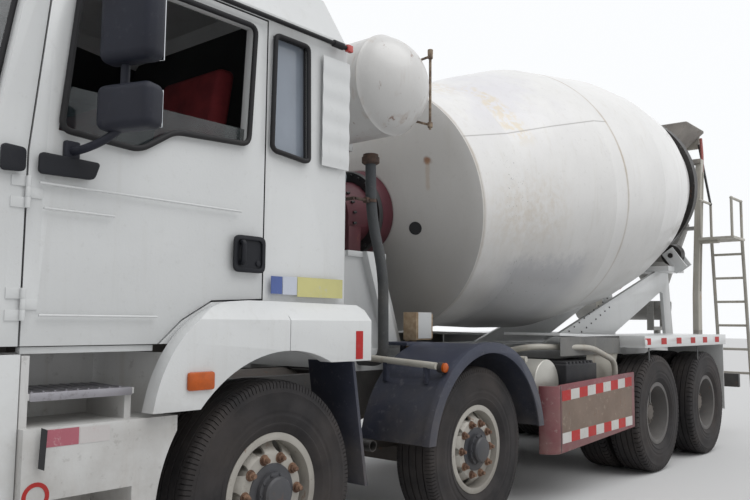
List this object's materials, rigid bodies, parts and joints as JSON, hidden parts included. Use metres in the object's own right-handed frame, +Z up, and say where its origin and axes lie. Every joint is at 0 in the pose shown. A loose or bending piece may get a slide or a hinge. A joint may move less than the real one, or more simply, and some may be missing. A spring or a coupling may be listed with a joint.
{
  "type": "concrete mixer truck",
  "caption": "Cab-over rigid truck with two steered and two driven axles, carrying a tilted rotating concrete drum, water tank, hopper, chute and rear ladder",
  "frame": {"origin": "On the ground under the middle of the truck's overall box", "axes": "+X forward along the truck, +Y to its left side, +Z up"},
  "size_m": [9.9, 3.077, 4.0326],
  "materials": {
    "white_paint": "satin",
    "dark_blue_plastic": "matte",
    "maroon_paint": "satin",
    "chassis_paint": "matte",
    "grey_steel": "satin",
    "tank_paint": "satin",
    "black_plastic": "matte",
    "tyre_rubber": "matte",
    "rim_paint": "satin",
    "cast_parts": "rough",
    "drum_paint": "satin",
    "ring_steel": "satin",
    "rusty_steel": "rough",
    "window_glass": "gloss",
    "seat_cloth": "matte",
    "lamp_lens": "gloss"
  },
  "bodies": {
    "chassis": {"frame": "chassis_paint", "subframe": "white_paint", "steer_axles": "cast_parts", "drive_axles": "cast_parts", "springs": "cast_parts", "drive_line": "cast_parts", "bumper": "white_paint", "lamps": "lamp_lens", "step_wells": "white_paint", "mudguards": "dark_blue_plastic", "pipes": "grey_steel", "rear_fenders": "white_paint", "side_guards": "maroon_paint", "tanks": "tank_paint", "battery_box": "black_plastic", "water_tank": "drum_paint", "front_pedestal": "white_paint", "drum_gearbox": "maroon_paint", "sign_box": "grey_steel", "rear_pedestal": "white_paint", "hopper": "rusty_steel", "trough": "grey_steel", "ladder": "grey_steel"},
    "drum_body": {"drum": "drum_paint", "drum_ring": "ring_steel"},
    "roller_l": {"roller_left": "ring_steel"},
    "roller_r": {"roller_right": "ring_steel"},
    "chute_post": {"chute_bracket": "grey_steel"},
    "chute_body": {"chute": "grey_steel"},
    "cab": {"cab_shell": "white_paint", "cab_glass": "window_glass", "cab_fenders": "white_paint", "seats": "seat_cloth", "dashboard": "black_plastic"},
    "door_l": {"door_left": "white_paint", "door_glass_left": "window_glass", "mirror_left": "dark_blue_plastic"},
    "door_r": {"door_right": "white_paint", "door_glass_right": "window_glass", "mirror_right": "dark_blue_plastic"},
    "knuckle_1_left_body": {"knuckle_1_left": "cast_parts"},
    "wheel_1_left": {"tyre_1_left": "tyre_rubber", "rim_1_left": "rim_paint"},
    "knuckle_1_right_body": {"knuckle_1_right": "cast_parts"},
    "wheel_1_right": {"tyre_1_right": "tyre_rubber", "rim_1_right": "rim_paint"},
    "knuckle_2_left_body": {"knuckle_2_left": "cast_parts"},
    "wheel_2_left": {"tyre_2_left": "tyre_rubber", "rim_2_left": "rim_paint"},
    "knuckle_2_right_body": {"knuckle_2_right": "cast_parts"},
    "wheel_2_right": {"tyre_2_right": "tyre_rubber", "rim_2_right": "rim_paint"},
    "wheel_3_left": {"tyres_3_left": "tyre_rubber", "rims_3_left": "rim_paint"},
    "wheel_3_right": {"tyres_3_right": "tyre_rubber", "rims_3_right": "rim_paint"},
    "wheel_4_left": {"tyres_4_left": "tyre_rubber", "rims_4_left": "rim_paint"},
    "wheel_4_right": {"tyres_4_right": "tyre_rubber", "rims_4_right": "rim_paint"}
  },
  "joints": [
    {"name": "cab_tilt", "type": "hinge", "parent": "chassis", "child": "cab", "pos_m": [4.89, 0, 1.12], "axis": [0, 1, 0], "range_deg": [0, 55]},
    {"name": "door_left_swing", "type": "hinge", "parent": "cab", "child": "door_l", "pos_m": [4.724, 1.154, 1.4], "axis": [0, 0, -1], "range_deg": [0, 70]},
    {"name": "door_right_swing", "type": "hinge", "parent": "cab", "child": "door_r", "pos_m": [4.724, -1.154, 1.4], "axis": [0, 0, 1], "range_deg": [0, 70]},
    {"name": "steer_1_left", "type": "hinge", "parent": "chassis", "child": "knuckle_1_left_body", "pos_m": [3.45, 0.895, 0.54], "axis": [0, 0, 1], "range_deg": [-35, 35]},
    {"name": "steer_1_right", "type": "hinge", "parent": "chassis", "child": "knuckle_1_right_body", "pos_m": [3.45, -0.895, 0.54], "axis": [0, 0, 1], "range_deg": [-35, 35]},
    {"name": "steer_2_left", "type": "hinge", "parent": "chassis", "child": "knuckle_2_left_body", "pos_m": [1.65, 0.895, 0.54], "axis": [0, 0, 1], "range_deg": [-25, 25]},
    {"name": "steer_2_right", "type": "hinge", "parent": "chassis", "child": "knuckle_2_right_body", "pos_m": [1.65, -0.895, 0.54], "axis": [0, 0, 1], "range_deg": [-25, 25]},
    {"name": "wheel_1_left_spin", "type": "hinge", "parent": "knuckle_1_left_body", "child": "wheel_1_left", "pos_m": [3.45, 1.018, 0.54], "axis": [0, 1, 0], "continuous": true},
    {"name": "wheel_1_right_spin", "type": "hinge", "parent": "knuckle_1_right_body", "child": "wheel_1_right", "pos_m": [3.45, -1.018, 0.54], "axis": [0, 1, 0], "continuous": true},
    {"name": "wheel_2_left_spin", "type": "hinge", "parent": "knuckle_2_left_body", "child": "wheel_2_left", "pos_m": [1.65, 1.018, 0.54], "axis": [0, 1, 0], "continuous": true},
    {"name": "wheel_2_right_spin", "type": "hinge", "parent": "knuckle_2_right_body", "child": "wheel_2_right", "pos_m": [1.65, -1.018, 0.54], "axis": [0, 1, 0], "continuous": true},
    {"name": "wheel_3_left_spin", "type": "hinge", "parent": "chassis", "child": "wheel_3_left", "pos_m": [-1.325, 0.93, 0.54], "axis": [0, 1, 0], "continuous": true},
    {"name": "wheel_3_right_spin", "type": "hinge", "parent": "chassis", "child": "wheel_3_right", "pos_m": [-1.325, -0.93, 0.54], "axis": [0, 1, 0], "continuous": true},
    {"name": "wheel_4_left_spin", "type": "hinge", "parent": "chassis", "child": "wheel_4_left", "pos_m": [-2.725, 0.93, 0.54], "axis": [0, 1, 0], "continuous": true},
    {"name": "wheel_4_right_spin", "type": "hinge", "parent": "chassis", "child": "wheel_4_right", "pos_m": [-2.725, -0.93, 0.54], "axis": [0, 1, 0], "continuous": true},
    {"name": "drum_spin", "type": "hinge", "parent": "chassis", "child": "drum_body", "pos_m": [1.95, 0, 2.15], "axis": [-0.9854, 0, 0.1702], "continuous": true},
    {"name": "roller_left_spin", "type": "hinge", "parent": "chassis", "child": "roller_l", "pos_m": [-3.68795, 0.56937, 2.23411], "axis": [-0.9854, 0, 0.1702], "continuous": true},
    {"name": "roller_right_spin", "type": "hinge", "parent": "chassis", "child": "roller_r", "pos_m": [-3.68795, -0.56937, 2.23411], "axis": [-0.9854, 0, 0.1702], "continuous": true},
    {"name": "chute_swing", "type": "hinge", "parent": "chassis", "child": "chute_post", "pos_m": [-4.62, 0, 1.1], "axis": [0, 0, -1], "range_deg": [0, 125]},
    {"name": "chute_tilt", "type": "hinge", "parent": "chute_post", "child": "chute_body", "pos_m": [-4.62, 0, 1.64], "axis": [1, 0, 0], "range_deg": [-10, 30]}
  ],
  "couplings": [
    {"joint": "steer_1_right", "follows": "steer_1_left", "ratio": 1},
    {"joint": "steer_2_left", "follows": "steer_1_left", "ratio": 0.7},
    {"joint": "steer_2_right", "follows": "steer_1_left", "ratio": 0.7},
    {"joint": "roller_left_spin", "follows": "drum_spin", "ratio": -7.36},
    {"joint": "roller_right_spin", "follows": "drum_spin", "ratio": -7.36}
  ]
}
